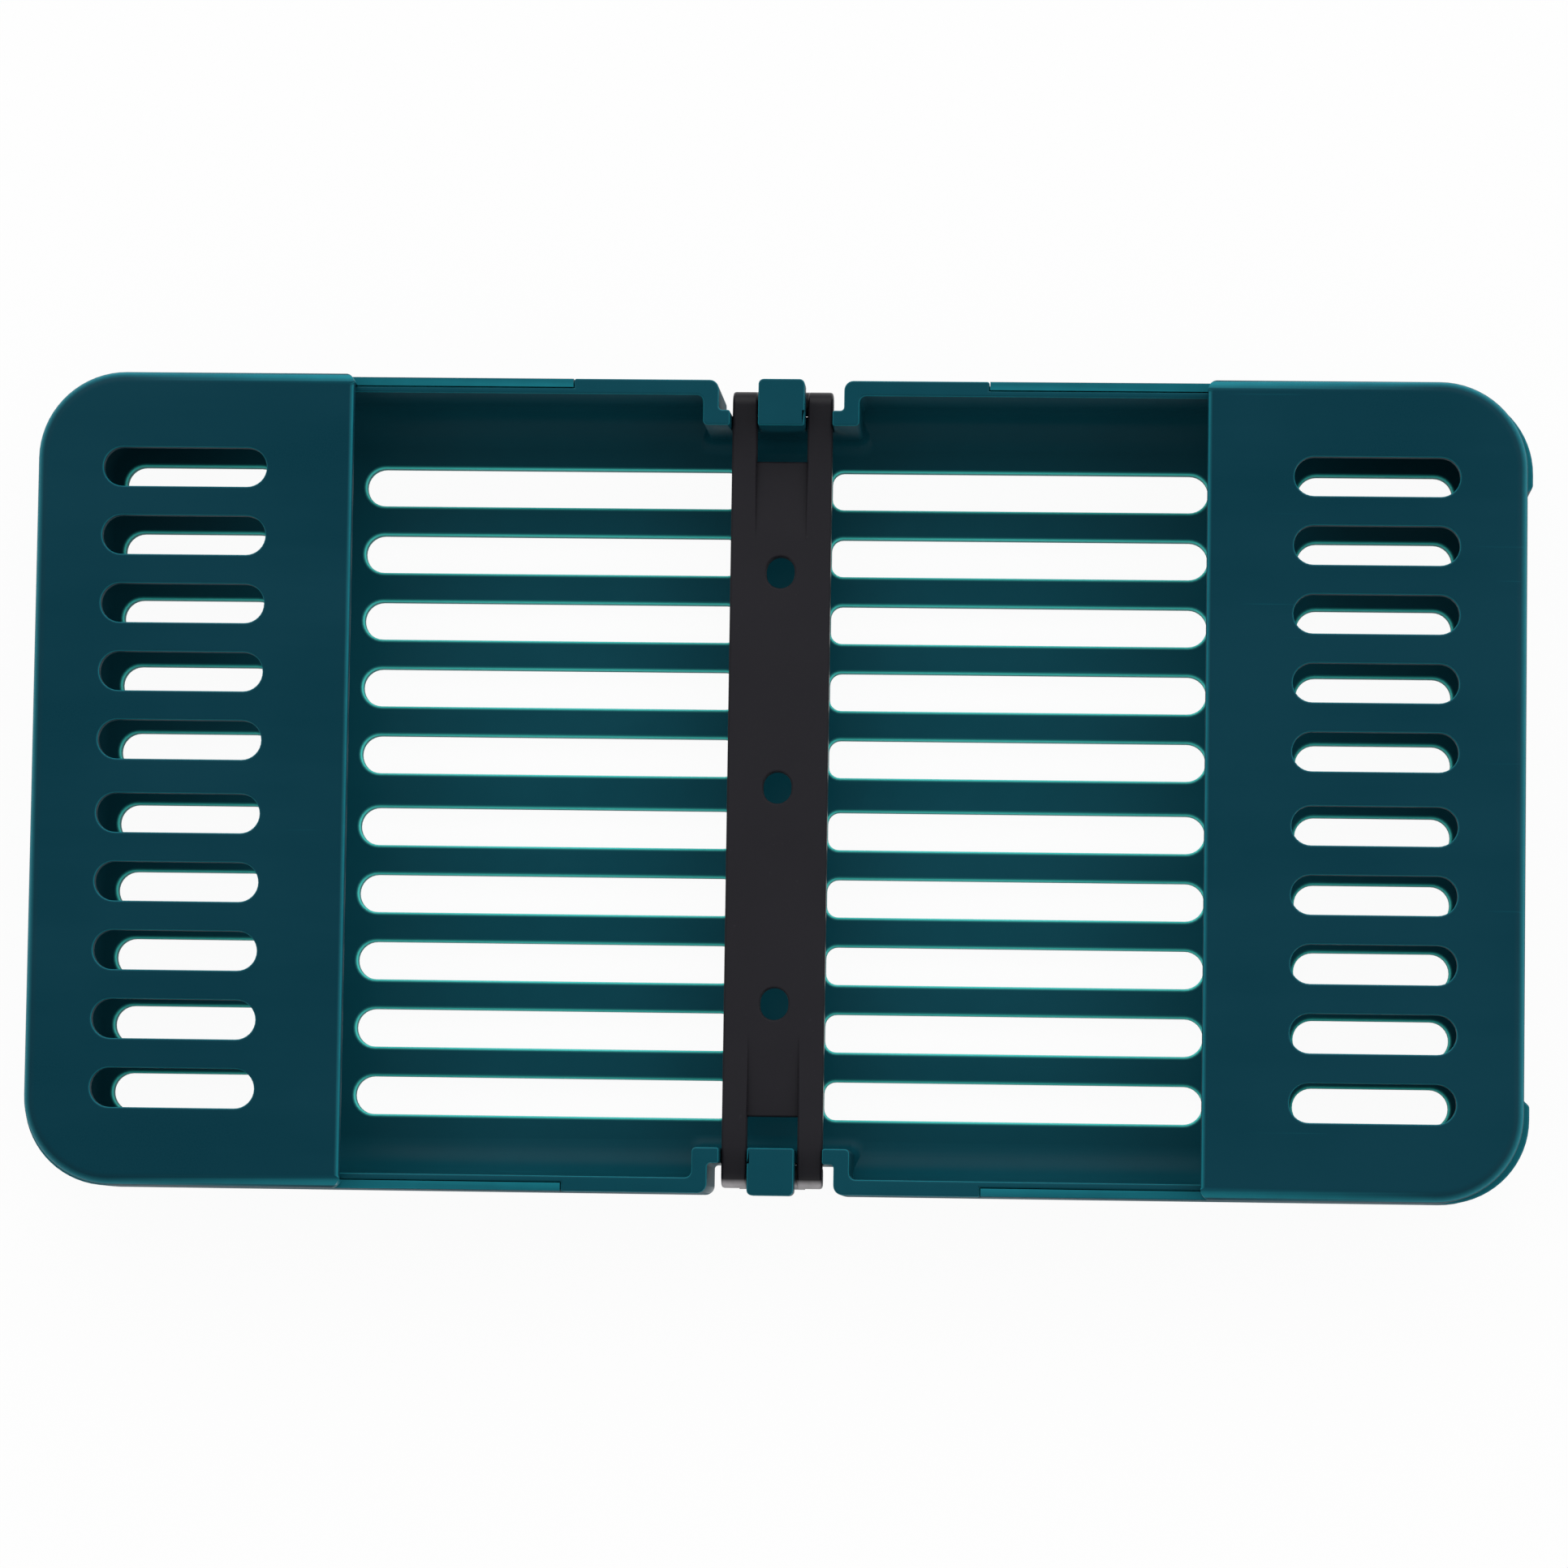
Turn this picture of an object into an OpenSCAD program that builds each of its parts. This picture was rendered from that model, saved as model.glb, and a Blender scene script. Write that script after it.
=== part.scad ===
// Instrument cassette: a slotted tray, two slotted end covers that slide outwards
// on runner arms, and an elastic hold-down strap hooked over two catches.
// X runs along the tray, Y across it and Z up. The origin is the middle of the
// underside. The left and right covers are mirror images of each other.

/* [Tray] */
// Length of the tray over its corner posts
tray_length = 204.4; // [190:0.2:260]
// Width of the tray over its long walls
tray_width = 110.6; // [104:0.2:150]
// Height of the walls above the underside
rim_height = 18.9; // [17:0.1:30]
// Plan radius of the outer corners
corner_radius = 11.5; // [8:0.5:14]
// Thickness of the long walls
side_wall = 2.1; // [1.9:0.1:3]
// Thickness of the end walls
end_wall = 3.2; // [2.8:0.1:4]
// Thickness of the floor
floor_thickness = 2.2; // [1.6:0.1:3]
// Radius between the walls and the floor, inside
floor_fillet = 5.5; // [2:0.5:7]
// Radius round the bottom edge, outside
base_radius = 1.2; // [0.6:0.1:2]

/* [Floor slots] */
// Rows of slots on each side of the middle
rows_per_side = 5; // [2:1:5]
// Distance from one row to the next
row_pitch = 9.3; // [8:0.1:9.8]
// Distance between the two rows next to the middle
middle_pitch = 9.97; // [8:0.01:11]
// Width of a floor slot
slot_width = 5.2; // [4.2:0.01:6.5]
// Width of the solid band across the middle
middle_band = 12.8; // [9:0.1:20]
// Radius of the corners at a long slot's inner end
slot_inner_radius = 1.6; // [0.5:0.1:2]
// How far a long slot runs on under the cover
slot_under_cover = 0.4; // [0:0.1:3]
// Length of an end slot
end_slot_length = 21.3; // [12:0.1:26]
// Floor left between an end slot and the end wall
end_slot_margin = 7.1; // [6:0.1:10]

/* [Finger recess] */
// Width of the recess in each end wall
finger_width = 81; // [30:1:82]
// Depth of the recess in each end wall
finger_depth = 1.5; // [0.4:0.1:1.6]

/* [Covers] */
// Length of a cover's top plate
cover_length = 43.1; // [36:0.1:50]
// Height of a cover's top above the tray's rim
cover_rise = 4.6; // [3:0.1:6]
// Thickness of a cover's top plate
cover_plate = 1.9; // [1.2:0.1:2]
// Thickness of a cover's skirt and of its runner arms
skirt = 1.15; // [1.05:0.01:1.2]
// Height of a runner arm
arm_height = 4.4; // [4:0.1:7]
// Radius along a cover's top edge
cover_edge_radius = 1.7; // [0.5:0.1:2]
// Plan radius of a cover's outer corners
cover_radius = 11.9; // [10:0.1:14]
// Plan radius of a cover's inner corners
cover_inner_radius = 1.5; // [0.5:0.1:3]
// How far the corner posts stand out past a cover
post_reach = 1.2; // [0.4:0.1:1.4]
// How far a cover slides out
cover_travel = 30; // [10:1:30]
// Length of a slot in a cover
cover_slot_length = 22.3; // [10:0.1:28]
// Width of a slot in a cover
cover_slot_width = 5.33; // [3:0.01:6.5]
// Distance from a cover's end to the nearer ends of its slots
cover_slot_margin = 9.1; // [6:0.1:12]

/* [Cover tracks] */
// Distance from the middle of the tray to where each track starts
track_start = 28.3; // [22:0.1:28.5]
// Height of the rail on the track's wall
rail_height = 1.2; // [0.8:0.1:1.4]
// How far the rail stands out from the track's wall
rail_depth = 0.4; // [0.2:0.05:0.4]
// Distance from the rim's top down to the rail
rail_drop = 1.6; // [1.4:0.1:1.8]
// Distance from the closed cover's inner edge to the near end of the rail
rail_lead = 3.5; // [2:0.5:8]
// Distance from the far end of the rail to the cover's rounded corner
rail_margin = 1; // [0.5:0.5:4]
// How far a cover's groove runs on past the far end of the rail
groove_margin = 0.3; // [0.2:0.1:0.4]

/* [Strap] */
// Width of the strap
strap_width = 13.7; // [11:0.1:14]
// Thickness of the strap
strap_thickness = 2.6; // [1.8:0.1:3.2]
// Height of the strap's top above the underside of the tray
strap_top = 14.9; // [13:0.1:24]
// Width of the gap between the two legs at each end of the strap
leg_gap = 6.9; // [6.6:0.1:7.4]
// Diameter of the round bar that joins the legs
bar_diameter = 3.1; // [2.6:0.1:3.2]
// Distance from the strap's top down to the middle of the bar
bar_drop = 3; // [2.6:0.1:3.2]
// Radius of the bend where a leg turns down outside the wall
bend_radius = 2.1; // [1.6:0.1:2.3]
// Length of the window between the bar and the web of the strap
window_length = 6.6; // [6.5:0.05:9]
// How far the web dips at the window
web_dip = 1.1; // [0.3:0.1:1.4]
// Length of the ramp from the window to the full thickness
ramp_length = 11.2; // [5:0.1:20]
// Width of a hole in the strap
hole_width = 3.9; // [2:0.1:6]
// Length of a hole in the strap
hole_length = 4.4; // [2.5:0.1:7]
// Distance between holes
hole_pitch = 29.45; // [15:0.05:30]

/* [Catches] */
// Width of the notch in each long wall
notch_width = 17.1; // [16.9:0.1:24]
// Depth of the notch in each long wall
notch_depth = 4.1; // [3.8:0.1:5]
// Width of a catch
catch_width = 6.3; // [4:0.1:6.3]
// How far the catch's head stands out past the long wall
catch_reach = 0.2; // [0:0.05:0.5]
// Plan radius at the outer corners of the head
catch_radius = 0.7; // [0.3:0.1:2]
// Gap between the bar and the head of the catch
head_gap = 1; // [0.3:0.1:1.5]
// Plan radius at the outer corners of the notch
notch_radius = 1.3; // [0.5:0.1:2]
// Plan radius at the inner corners of the notch
notch_inner_radius = 0.5; // [0.2:0.1:1.5]
// Plan radius at the corners of the swelling behind the notch
boss_radius = 0.6; // [0.2:0.1:1.5]
// Plan radius where the swelling meets the long wall
boss_root_radius = 0.9; // [0.3:0.1:2]

/* [Clearances] */
// Sliding clearance between a cover and the tray
slide_gap = 0.1; // [0.05:0.01:0.12]
// Clearance above and below the skirt and the rail
track_gap = 0.15; // [0.1:0.01:0.3]
// Clearance round the strap where it passes the wall and the catch
strap_gap = 0.15; // [0.1:0.01:0.3]

/* [Hidden] */
$fn = 64;
over = 1; // how far a cut runs past the face it opens
seam = 0.001; // overlap that joins two outlines which only touch
half_length = tray_length / 2;
half_width = tray_width / 2;

// Covers and their tracks
cover_end = half_length - post_reach;
cover_start = cover_end - cover_length;
cover_top = rim_height + cover_rise;
track_inset = skirt + slide_gap;
shelf = rim_height - arm_height - track_gap;
rail_top = rim_height - rail_drop;
rail_start = cover_start + rail_lead;
rail_end = cover_end - cover_radius - rail_margin;
groove_start = rail_start - cover_travel - slide_gap;
groove_end = rail_end + groove_margin;

// Inside of the tray
cavity_length = tray_length - 2 * end_wall;
cavity_width = tray_width - 2 * side_wall;
cavity_radius = cover_radius - side_wall;

// Strap and catches
strap_bottom = strap_top - strap_thickness;
wall_face = half_width - side_wall;
wall_outer = half_width - notch_depth;
wall_inner = wall_outer - side_wall;
bar_radius = bar_diameter / 2;
bar_y = wall_outer + strap_gap + bar_radius;
bar_z = strap_top - bar_drop;
web_end = bar_y - bar_radius - window_length;
gap_half = strap_width / 2 + strap_gap;
catch_bottom = bar_z + bar_radius + head_gap;
boss_half = notch_width / 2 + side_wall;

teal = [0.03, 0.24, 0.29];
charcoal = [0.15, 0.15, 0.16];

// Middle of each row of slots, from the front to the back
function row_y(i) = (i < 0 ? -1 : 1) * (middle_pitch / 2 + (abs(i) - 1) * row_pitch);
row_numbers = [for (i = [1 : rows_per_side]) each [-i, i]];

// Half section of a slab: square inside, rounded along one outer edge
module edge_profile(reach, height, edge, at_top) {
    difference() {
        square([reach, height]);
        translate([reach - edge, at_top ? height - edge : 0]) square([edge + over, edge]);
    }
    intersection() {
        translate([reach - edge, at_top ? height - edge : edge]) circle(edge);
        translate([reach - edge, at_top ? height - edge : 0]) square([edge, edge]);
    }
}

// Rounded rectangular slab on the XY plane, with its top or bottom edge rounded
module slab(length, width, radius, height, edge, at_top = false) {
    straight_x = length - 2 * radius;
    straight_y = width - 2 * radius;
    translate([-straight_x / 2, -straight_y / 2, 0]) cube([straight_x, straight_y, height]);
    for (sx = [-1, 1], sy = [-1, 1]) {
        translate([sx * straight_x / 2, sy * straight_y / 2, 0])
            rotate([0, 0, sx > 0 ? (sy > 0 ? 0 : 270) : (sy > 0 ? 90 : 180)])
                rotate_extrude(angle = 90) edge_profile(radius, height, edge, at_top);
    }
    for (turn = [0, 180]) {
        rotate([0, 0, turn]) translate([-straight_x / 2, straight_y / 2, 0])
            rotate([90, 0, 90]) linear_extrude(straight_x)
                edge_profile(radius, height, edge, at_top);
        rotate([0, 0, turn]) translate([straight_x / 2, straight_y / 2, 0])
            rotate([90, 0, 0]) linear_extrude(straight_y)
                edge_profile(radius, height, edge, at_top);
    }
}

// Upright prism with a rounded rectangular outline
module rounded_prism(length, width, radius, height) {
    linear_extrude(height) {
        square([length - 2 * radius, width], center = true);
        square([length, width - 2 * radius], center = true);
        for (sx = [-1, 1], sy = [-1, 1])
            translate([sx * (length / 2 - radius), sy * (width / 2 - radius)]) circle(radius);
    }
}

// Outline of a slot along X whose two ends have their own corner radii
module slot_outline(start, end, width, start_radius, end_radius) {
    for (side = [0, 1]) {
        radius = side == 0 ? start_radius : end_radius;
        x = side == 0 ? start + radius : end - radius;
        for (s = [-1, 1]) translate([x, s * (width / 2 - radius)]) circle(radius);
        if (width > 2 * radius)
            translate([side == 0 ? start : x, radius - width / 2])
                square([radius, width - 2 * radius]);
    }
    translate([start + start_radius, -width / 2])
        square([end - end_radius - start - start_radius, width]);
}

// Slots through the floor: one long and one end slot in each row, on both sides
module floor_slots() {
    long_end = cover_start + slot_under_cover;
    end_slot_end = cavity_length / 2 - end_slot_margin;
    round_end = slot_width / 2;
    for (i = row_numbers, turn = [0, 180]) {
        translate([0, row_y(i), -over]) rotate([0, 0, turn])
            linear_extrude(floor_thickness + 2 * over) {
                slot_outline(middle_band / 2, long_end, slot_width, slot_inner_radius, round_end);
                slot_outline(end_slot_end - end_slot_length, end_slot_end, slot_width,
                             round_end, round_end);
            }
    }
}

// Shallow recess in the lower part of an end wall, with sloping ends
module finger_recess() {
    half = finger_width / 2;
    linear_extrude(2 * rim_height, center = true)
        polygon([[half_length - finger_depth, -half], [half_length - finger_depth, half],
                 [half_length + over, half + finger_depth + over],
                 [half_length + over, -half - finger_depth - over]]);
}

// Outline of the swelling inside a long wall, behind the notch
module boss_outline() {
    foot = boss_half + boss_root_radius;
    difference() {
        translate([-foot, wall_inner]) square([2 * foot, wall_face - wall_inner + over / 2]);
        for (s = [-1, 1]) {
            translate([s * foot, wall_inner - over])
                square([2 * boss_root_radius, 2 * (notch_depth - boss_root_radius + over)],
                       center = true);
            translate([s * foot, wall_face - boss_root_radius]) circle(boss_root_radius);
            difference() {
                translate([s * boss_half, wall_inner]) square(2 * boss_radius, center = true);
                translate([s * (boss_half - boss_radius), wall_inner + boss_radius])
                    circle(boss_radius);
            }
        }
    }
}

// Outline of the notch in the outside of a long wall, with eased corners
module notch_outline() {
    half = notch_width / 2;
    inner = half - notch_inner_radius;
    translate([-inner, wall_outer]) square([2 * inner, notch_inner_radius + over]);
    translate([-half, wall_outer + notch_inner_radius]) square([notch_width, notch_depth + over]);
    for (s = [-1, 1]) {
        translate([s * inner, wall_outer + notch_inner_radius]) circle(notch_inner_radius);
        difference() {
            translate([s * (half + notch_radius / 2), half_width - notch_radius / 2])
                square(notch_radius + seam, center = true);
            translate([s * (half + notch_radius), half_width - notch_radius])
                circle(notch_radius);
        }
    }
}

// Catch: a post in the middle of the notch whose head overhangs the strap's bar
module catch() {
    head_end = half_width + catch_reach;
    linear_extrude(rim_height) translate([-catch_width / 2, wall_inner])
        square([catch_width, side_wall]);
    translate([0, 0, catch_bottom]) linear_extrude(rim_height - catch_bottom) {
        translate([-catch_width / 2, wall_inner])
            square([catch_width, head_end - catch_radius - wall_inner]);
        translate([catch_radius - catch_width / 2, wall_inner])
            square([catch_width - 2 * catch_radius, head_end - wall_inner]);
        for (s = [-1, 1])
            translate([s * (catch_width / 2 - catch_radius), head_end - catch_radius])
                circle(catch_radius);
    }
}

// Walls and floor before the slots, notches and recesses are cut
module tray_shell() {
    difference() {
        union() {
            slab(tray_length, tray_width, corner_radius, shelf, base_radius);
            translate([0, 0, shelf])
                rounded_prism(2 * (cover_end - track_inset), tray_width - 2 * track_inset,
                              cover_radius - track_inset, rim_height - shelf);
            translate([-track_start, -half_width, shelf])
                cube([2 * track_start, tray_width, rim_height - shelf]);
        }
        translate([0, 0, floor_thickness])
            slab(cavity_length, cavity_width, cavity_radius, rim_height, floor_fillet);
    }
}

// Rails that keep the covers on their tracks
module rails() {
    for (sx = [-1, 1], sy = [-1, 1])
        translate([sx * (rail_start + rail_end) / 2,
                   sy * (half_width - track_inset + rail_depth / 2 - over / 4),
                   rail_top - rail_height / 2])
            cube([rail_end - rail_start, rail_depth + over / 2, rail_height], center = true);
}

module tray() color(teal) {
    difference() {
        union() {
            tray_shell();
            rails();
            for (turn = [0, 180]) rotate([0, 0, turn]) linear_extrude(rim_height) boss_outline();
        }
        floor_slots();
        for (turn = [0, 180]) rotate([0, 0, turn]) {
            finger_recess();
            translate([0, 0, -over]) linear_extrude(rim_height + 2 * over) notch_outline();
            translate([-gap_half, wall_inner - over, strap_bottom - 2 * strap_gap])
                cube([2 * gap_half, side_wall + 2 * over, rim_height]);
        }
    }
    for (turn = [0, 180]) rotate([0, 0, turn]) catch();
}

// The cover for the +X end, where it lies when closed
module cover() {
    skirt_bottom = rim_height - arm_height;
    plate_bottom = cover_top - cover_plate;
    arm_start = track_start + slide_gap;
    slot_end = cover_end - cover_slot_margin;
    difference() {
        union() {
            difference() {
                translate([0, 0, skirt_bottom])
                    slab(2 * cover_end, tray_width, cover_radius, cover_top - skirt_bottom,
                         cover_edge_radius, at_top = true);
                translate([cover_start - tray_length, -tray_width, 0])
                    cube([tray_length, 2 * tray_width, cover_top + over]);
                translate([0, 0, rim_height]) linear_extrude(cover_rise + over)
                    for (s = [-1, 1]) difference() {
                        translate([cover_start, s * half_width])
                            square(2 * cover_inner_radius, center = true);
                        translate([cover_start + cover_inner_radius,
                                   s * (half_width - cover_inner_radius)])
                            circle(cover_inner_radius);
                    }
            }
            for (s = [-1, 1])
                translate([arm_start, s > 0 ? half_width - skirt : -half_width, skirt_bottom])
                    cube([cover_start + over - arm_start, skirt, arm_height]);
        }
        translate([0, 0, skirt_bottom - over])
            rounded_prism(2 * (cover_end - skirt), tray_width - 2 * skirt,
                          cover_radius - skirt, plate_bottom - skirt_bottom + over);
        for (i = row_numbers) translate([0, row_y(i), plate_bottom - over])
            linear_extrude(cover_plate + 2 * over)
                slot_outline(slot_end - cover_slot_length, slot_end, cover_slot_width,
                             cover_slot_width / 2, cover_slot_width / 2);
        for (s = [-1, 1])
            translate([(groove_start + groove_end) / 2,
                       s * (half_width - track_inset + (rail_depth + track_gap) / 2),
                       rail_top - rail_height / 2])
                cube([groove_end - groove_start, rail_depth + track_gap,
                      rail_height + 2 * track_gap], center = true);
    }
}

module right_cover() color(teal) cover();

module left_cover() color(teal) mirror([1, 0, 0]) cover();

// Side view of one end of a leg: level, bent down outside the wall, round at the bar
module leg_outline() {
    outer = bar_y + bar_radius;
    translate([web_end - over, strap_bottom])
        square([outer - bend_radius - web_end + over, strap_thickness]);
    translate([bar_y - bar_radius, bar_z])
        square([bar_diameter, strap_top - bend_radius - bar_z]);
    translate([bar_y, bar_z]) circle(bar_radius);
    intersection() {
        translate([outer - bend_radius, strap_top - bend_radius]) circle(bend_radius);
        translate([bar_y - bar_radius, bar_z])
            square([bar_diameter, strap_top - bar_z]);
    }
}

// One of the two legs at each end of the strap, on the +Y end
module leg(side) {
    leg_width = (strap_width - leg_gap) / 2;
    translate([side > 0 ? leg_gap / 2 : -leg_gap / 2 - leg_width, 0, 0])
        rotate([90, 0, 90]) linear_extrude(leg_width) leg_outline();
}

// Bar that joins the two legs under the head of a catch, on the +Y end
module bar() {
    translate([-leg_gap / 2, bar_y, bar_z]) rotate([0, 90, 0]) cylinder(r = bar_radius, h = leg_gap);
}

module strap() color(charcoal) {
    difference() {
        translate([-strap_width / 2, -web_end, strap_bottom])
            cube([strap_width, 2 * web_end, strap_thickness]);
        for (i = [-1 : 1]) translate([0, i * hole_pitch, strap_bottom - over])
            linear_extrude(strap_thickness + 2 * over) rotate([0, 0, 90])
                slot_outline(-hole_length / 2, hole_length / 2, hole_width,
                             hole_width / 2, hole_width / 2);
        for (turn = [0, 180]) rotate([0, 0, turn])
            translate([-leg_gap / 2, 0, 0]) rotate([90, 0, 90]) linear_extrude(leg_gap)
                polygon([[web_end - ramp_length, strap_top], [web_end, strap_top - web_dip],
                         [web_end + over, strap_top - web_dip], [web_end + over, strap_top + over],
                         [web_end - ramp_length, strap_top + over]]);
    }
    for (turn = [0, 180], side = [-1, 1]) rotate([0, 0, turn]) leg(side);
    bar();
}

module strap_front_bar() color(charcoal) rotate([0, 0, 180]) bar();

tray();
left_cover();
right_cover();
strap();
strap_front_bar();
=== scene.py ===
"""Dental instrument cassette: moulded tray, sliding covers and silicone strap, on a plain stage."""

import math

import bmesh
import bpy
from bpy.props import FloatProperty, FloatVectorProperty, IntProperty, PointerProperty
from mathutils import Matrix, Vector


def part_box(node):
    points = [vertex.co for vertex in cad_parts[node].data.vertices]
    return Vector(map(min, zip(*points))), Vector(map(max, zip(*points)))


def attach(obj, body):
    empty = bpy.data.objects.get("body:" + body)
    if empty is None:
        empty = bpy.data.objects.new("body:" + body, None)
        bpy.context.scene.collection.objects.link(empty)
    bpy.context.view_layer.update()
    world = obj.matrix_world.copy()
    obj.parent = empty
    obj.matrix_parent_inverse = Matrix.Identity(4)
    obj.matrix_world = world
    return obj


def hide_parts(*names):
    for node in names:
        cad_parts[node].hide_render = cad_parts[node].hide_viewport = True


bl_info = {
    "name": "Instrument Cassette",
    "version": (1, 0, 0),
    "blender": (4, 5, 0),
    "location": "View3D > Sidebar > Cassette",
    "description": "Builds a slotted instrument cassette with sliding covers and a hold-down strap",
    "category": "Object",
}

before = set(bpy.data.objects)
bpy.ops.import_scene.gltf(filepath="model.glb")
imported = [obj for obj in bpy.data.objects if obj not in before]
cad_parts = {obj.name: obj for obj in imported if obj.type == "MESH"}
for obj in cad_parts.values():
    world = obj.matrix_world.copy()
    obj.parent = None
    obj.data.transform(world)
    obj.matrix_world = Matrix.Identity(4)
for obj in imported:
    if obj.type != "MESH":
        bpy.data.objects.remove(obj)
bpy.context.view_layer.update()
tray_low, tray_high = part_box("tray")
cover_low, cover_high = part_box("right_cover")
strap_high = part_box("strap")[1]
bar_low, bar_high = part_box("strap_front_bar")

MM = 0.001
TINY = 0.01 * MM  # places closer than this count as the same
WELD = TINY / 5  # vertices closer than this are merged
OVER = 1 * MM  # how far a cutting tool runs past the face it opens
STEPS_PER_ROOT_MM = 5  # facets of a quarter round, for the root of its radius in millimetres
FEWEST_STEPS = 3  # facets of the smallest quarter round
BAR_SIDES = 40  # facets round the strap's bars
SHARP_TURN = math.radians(35)  # edges that turn more than this can be rounded
CREASE_TURN = math.radians(40)  # edges that turn more than this stay creased in the shading

MIRROR_X = Matrix.Scale(-1, 4, (1, 0, 0))
MIRROR_Y = Matrix.Scale(-1, 4, (0, 1, 0))
ON_ITS_SIDE = Matrix(((0, 0, 1, 0), (1, 0, 0, 0), (0, 1, 0, 0), (0, 0, 0, 1)))  # X to Y, Y to Z, Z to X

# How far up a surface faces, from 0 for a wall to 1 for a flat top.
WALL, STEEP, SLOPING, LEANING, FLAT = 0.3, 0.5, 0.7, 0.9, 0.97

# How much painted light a part of the tray takes on: the share of the painted edge light inside and on the
# ledge, and of the painted slot light on the slot walls.
LIT_INSIDE = 0.11
LIT_LEDGE = 0.7
LIT_SLOT_WALL = 0.2

PLASTIC_IOR = 1.45
SILICONE_IOR = 1.43

# The camera, with its lens and sensor in millimetres.
LENS = 149.07
SENSOR_WIDTH = 36
CAMERA_PLACE = (0.04561, -0.06698, 0.89459)
CAMERA_TURN = (0.0771714, 0.0496130, 0.0147197)
NEAREST_SEEN = 0.05
FARTHEST_SEEN = 20


def size(name, description, value):
    """A length that a user may change, in metres."""
    return FloatProperty(name=name, description=description, default=value, min=0, precision=5,
                         unit="LENGTH", subtype="DISTANCE")


def colour(name, description, value):
    """A linear colour that a user may change."""
    return FloatVectorProperty(name=name, description=description, default=value, size=3,
                               min=0, max=1, subtype="COLOR")


def share(name, description, value, highest=1):
    """A plain number that a user may change."""
    return FloatProperty(name=name, description=description, default=value, min=0, max=highest)


class CassetteTraySettings(bpy.types.PropertyGroup):
    length: size("Length", "Length over the corner posts", tray_high.x - tray_low.x)
    width: size("Width", "Width over the long walls", cover_high.y - cover_low.y)
    height: size("Height", "Height of the walls", tray_high.z)
    corner_radius: size("Corner radius", "Plan radius of the outer corners", 11.5 * MM)
    side_wall: size("Side wall", "Thickness of the long walls", 2.1 * MM)
    end_wall: size("End wall", "Thickness of the end walls", 3.2 * MM)
    floor: size("Floor", "Thickness of the floor", 2.2 * MM)
    floor_fillet: size("Floor fillet", "Radius between the walls and the floor", 5.5 * MM)
    base_radius: size("Base radius", "Radius round the bottom edge", 1.2 * MM)
    rows_per_side: IntProperty(name="Rows per side", description="Slot rows on each side of the middle",
                               default=5, min=1)
    row_pitch: size("Row pitch", "Distance from one row to the next", 9.3 * MM)
    middle_pitch: size("Middle pitch", "Distance between the two middle rows", 9.97 * MM)
    slot_width: size("Slot width", "Width of a floor slot", 5.2 * MM)
    middle_band: size("Middle band", "Width of the solid band across the middle", 12.8 * MM)
    slot_inner_radius: size("Slot inner radius", "Corner radius at a slot's inner end", 1.6 * MM)
    slot_under_cover: size("Slot under cover", "How far a slot runs on under the cover", 0.4 * MM)
    end_slot_length: size("End slot length", "Length of an end slot", 21.3 * MM)
    end_slot_margin: size("End slot margin", "Floor between an end slot and the end wall", 7.1 * MM)
    finger_width: size("Finger recess width", "Width of the recess in each end wall", 81 * MM)
    finger_depth: size("Finger recess depth", "Depth of the recess in each end wall", 1.5 * MM)
    notch_width: size("Notch width", "Width of the notch in each long wall", 17.1 * MM)
    notch_depth: size("Notch depth", "Depth of the notch in each long wall", 4.1 * MM)
    notch_radius: size("Notch radius", "Radius at the outer corners of the notch", 1.3 * MM)
    notch_inner_radius: size("Notch inner radius", "Radius at the inner corners of the notch", 0.5 * MM)
    boss_radius: size("Boss radius", "Radius at the corners of the swelling behind the notch", 0.6 * MM)
    boss_root_radius: size("Boss root radius", "Radius where the swelling meets the wall", 0.9 * MM)
    boss_foot_radius: size("Boss foot radius", "Radius round the foot of the swelling", 2.2 * MM)
    catch_width: size("Catch width", "Width of a strap catch", 6.3 * MM)
    catch_radius: size("Catch radius", "Radius at the outer corners of the catch's head", 0.7 * MM)
    head_gap: size("Head gap", "Gap between the strap's bar and the catch's head", 1 * MM)
    strap_gap: size("Strap gap", "Clearance round the strap where it passes the wall", 0.15 * MM)
    rail_height: size("Rail height", "Height of the rail that keeps a cover down", 1.2 * MM)
    rail_depth: size("Rail depth", "How far the rail stands out", 0.4 * MM)
    rail_drop: size("Rail drop", "Distance from the rim down to the rail", 1.6 * MM)
    rail_lead: size("Rail lead", "Distance from the cover's inner edge to the rail", 3.5 * MM)
    rail_margin: size("Rail margin", "Distance from the rail to the cover's rounded corner", 1 * MM)
    slot_edge: size("Slot edge radius", "Radius round the top of the floor slots", 0.5 * MM)
    edge: size("Edge radius", "Radius of the moulded edges", 0.3 * MM)


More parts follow.
